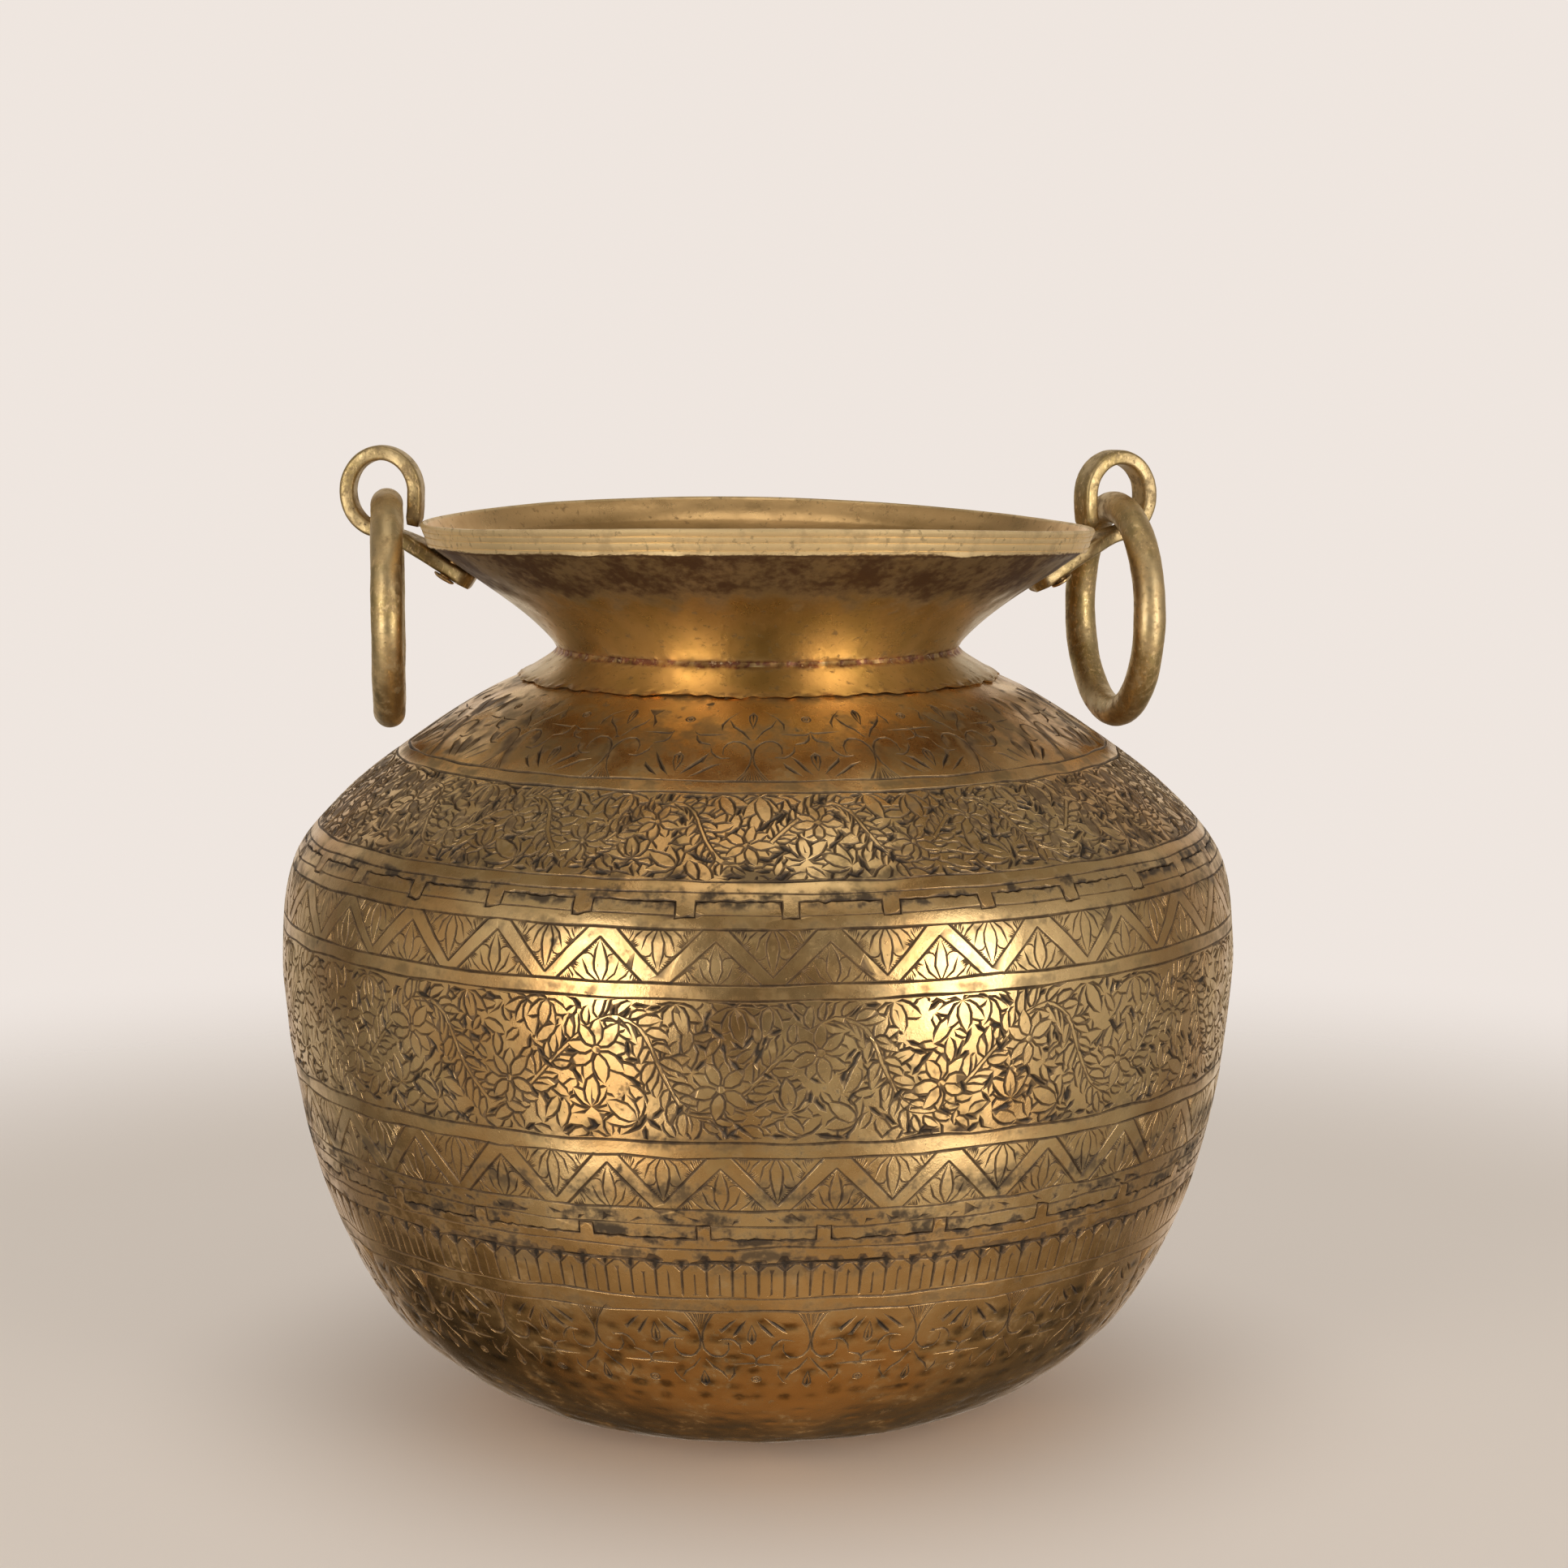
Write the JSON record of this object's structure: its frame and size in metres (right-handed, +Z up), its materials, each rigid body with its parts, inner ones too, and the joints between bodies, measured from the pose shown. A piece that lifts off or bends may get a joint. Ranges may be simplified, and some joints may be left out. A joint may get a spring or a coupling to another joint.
{
  "type": "water pot",
  "caption": "Round-bellied engraved brass water pot with a flared collar, toothed seams between its sheets and a swinging carrying ring in a riveted eye bracket on each side.",
  "frame": {"origin": "middle of the flat foot the pot rests on", "axes": "+Z up along the pot's axis, -Y towards the front, -X towards the left ring"},
  "size_m": [0.4192, 0.4191, 0.4205],
  "materials": {
    "collar_brass": "aged, turned, dark stain under the hem",
    "shoulder_brass": "aged, engraved, dark patina in the cuts",
    "drum_brass": "aged, engraved, dark patina in the cuts",
    "bowl_brass": "aged, engraved above, hammered below",
    "cast_brass": "dull cast and forged surface",
    "rivet_brass": "dull, hammered"
  },
  "bodies": {
    "pot": {"collar": "collar_brass", "shoulder": "shoulder_brass", "drum": "drum_brass", "bowl": "bowl_brass", "bracket_left": "cast_brass", "rivet_left_a": "rivet_brass", "rivet_left_b": "rivet_brass", "bracket_right": "cast_brass", "rivet_right_a": "rivet_brass", "rivet_right_b": "rivet_brass"},
    "ring_left": {"ring_left": "cast_brass"},
    "ring_right": {"ring_right": "cast_brass"}
  },
  "joints": [
    {"name": "ring_left_swing", "type": "hinge", "parent": "pot", "child": "ring_left", "pos_m": [-0.16368, 0.0103, 0.39473], "axis": [-0.0941, 0.9956, 0], "range_deg": [-9, 265]},
    {"name": "ring_right_swing", "type": "hinge", "parent": "pot", "child": "ring_right", "pos_m": [0.16107, 0.04016, 0.39173], "axis": [0.2419, -0.9703, 0], "range_deg": [-7, 265]}
  ]
}
